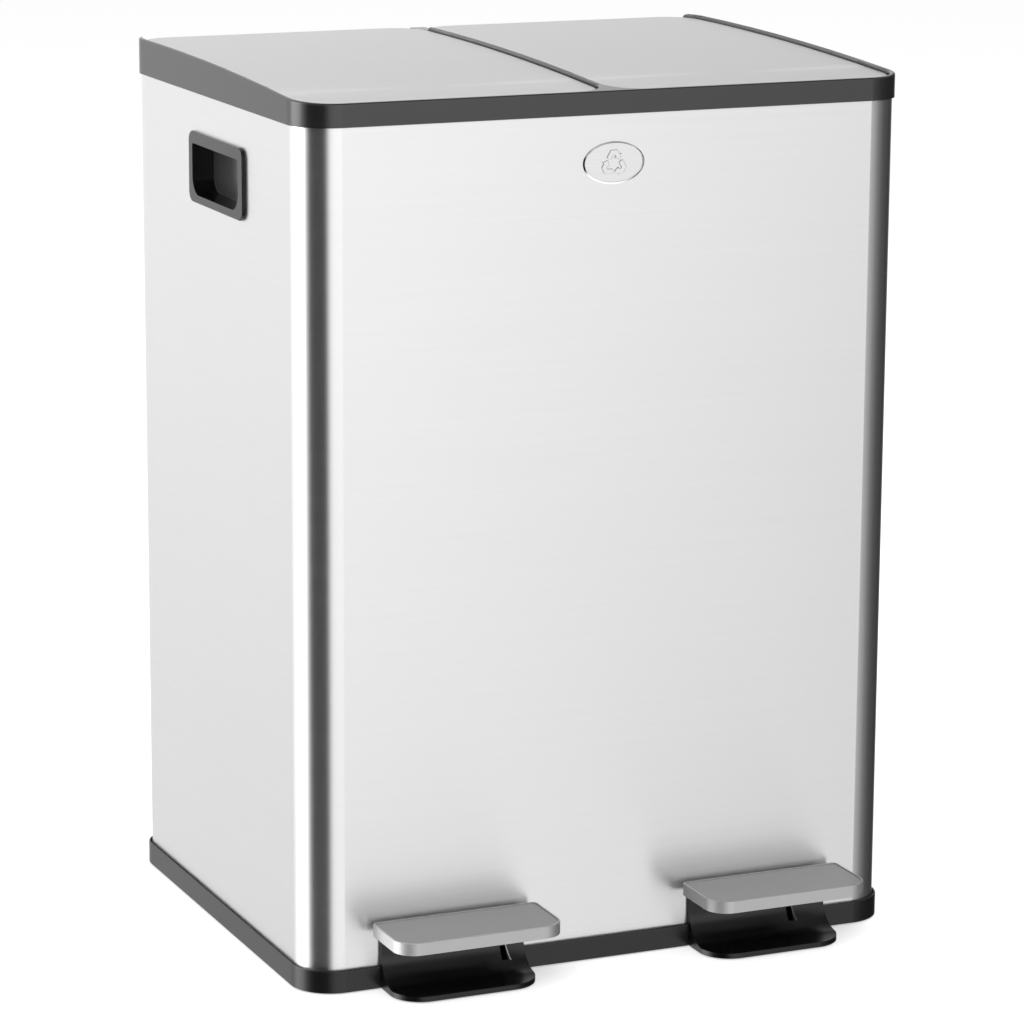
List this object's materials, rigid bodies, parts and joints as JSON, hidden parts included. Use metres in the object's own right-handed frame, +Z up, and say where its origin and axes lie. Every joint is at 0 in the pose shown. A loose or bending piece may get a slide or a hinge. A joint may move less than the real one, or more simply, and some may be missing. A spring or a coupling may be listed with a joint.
{
  "type": "double recycling bin",
  "caption": "Rectangular pedal bin for sorted waste: brushed steel cabinet, dark top frame with twin sloping lids, front pedals, side handles, lift-out buckets inside.",
  "frame": {"origin": "on the floor, under the middle of the whole footprint, pedals included", "axes": "+Z up, the front with the pedals faces -Y, +X to the right seen from the front"},
  "size_m": [0.4856, 0.4448, 0.6684],
  "materials": {
    "steel_body": "horizontal brushed, satin",
    "steel_lid": "fine satin",
    "steel_badge": "satin",
    "frame_plastic": "fine matt moulding",
    "guard_plastic": "satin moulding",
    "liner_plastic": "matt moulding",
    "bucket_plastic": "matt moulding",
    "pedal_silver": "satin silver",
    "pedal_grey": "fine matt",
    "lever_steel": "zinc plated",
    "wire_steel": "bright zinc plated",
    "rubber": "matt rubber"
  },
  "bodies": {
    "cabinet": {"body_shell": "steel_body", "base_tray": "frame_plastic", "rubber_feet": "rubber", "top_frame": "frame_plastic", "inner_floor": "liner_plastic", "front_badge": "steel_badge", "guard_screws": "lever_steel", "bracket_screws": "lever_steel", "handle_cup_left": "guard_plastic", "hinge_pins_left": "wire_steel", "rod_guide_left": "liner_plastic", "pedal_guard_left": "guard_plastic", "pivot_bracket_left": "lever_steel", "pivot_pin_left": "wire_steel", "bucket_left": "bucket_plastic", "bucket_bail_left": "wire_steel", "bail_grip_left": "guard_plastic", "handle_cup_right": "guard_plastic", "hinge_pins_right": "wire_steel", "rod_guide_right": "liner_plastic", "pedal_guard_right": "guard_plastic", "pivot_bracket_right": "lever_steel", "pivot_pin_right": "wire_steel", "bucket_right": "bucket_plastic", "bucket_bail_right": "wire_steel", "bail_grip_right": "guard_plastic"},
    "lid_left": {"lid_panel_left": "steel_lid", "lid_liner_left": "liner_plastic", "lid_bumpers_left": "rubber"},
    "pedal_left": {"pedal_lever_left": "lever_steel", "pedal_trim_left": "pedal_silver", "pedal_pad_left": "pedal_grey", "pedal_screws_left": "lever_steel"},
    "rod_left": {"lift_rod_left": "wire_steel"},
    "lid_right": {"lid_panel_right": "steel_lid", "lid_liner_right": "liner_plastic", "lid_bumpers_right": "rubber"},
    "pedal_right": {"pedal_lever_right": "lever_steel", "pedal_trim_right": "pedal_silver", "pedal_pad_right": "pedal_grey", "pedal_screws_right": "lever_steel"},
    "rod_right": {"lift_rod_right": "wire_steel"}
  },
  "joints": [
    {"name": "lid_left_hinge", "type": "hinge", "parent": "cabinet", "child": "lid_left", "pos_m": [-0.12, 0.21405, 0.66], "axis": [-1, 0, 0], "range_deg": [0, 75]},
    {"name": "pedal_left_press", "type": "hinge", "parent": "cabinet", "child": "pedal_left", "pos_m": [-0.0865, -0.02945, 0.034], "axis": [1, 0, 0], "range_deg": [0, 8.75]},
    {"name": "rod_left_lift", "type": "slide", "parent": "cabinet", "child": "rod_left", "axis": [0, 0, 1], "range_m": [0, 0.0338]},
    {"name": "lid_right_hinge", "type": "hinge", "parent": "cabinet", "child": "lid_right", "pos_m": [0.12, 0.21405, 0.66], "axis": [-1, 0, 0], "range_deg": [0, 75]},
    {"name": "pedal_right_press", "type": "hinge", "parent": "cabinet", "child": "pedal_right", "pos_m": [0.1535, -0.02945, 0.034], "axis": [1, 0, 0], "range_deg": [0, 8.75]},
    {"name": "rod_right_lift", "type": "slide", "parent": "cabinet", "child": "rod_right", "axis": [0, 0, 1], "range_m": [0, 0.0338]}
  ],
  "couplings": [
    {"joint": "pedal_left_press", "follows": "lid_left_hinge", "ratio": 0.11656},
    {"joint": "rod_left_lift", "follows": "lid_left_hinge", "m_per_rad": 0.025792},
    {"joint": "pedal_right_press", "follows": "lid_right_hinge", "ratio": 0.11656},
    {"joint": "rod_right_lift", "follows": "lid_right_hinge", "m_per_rad": 0.025792}
  ]
}
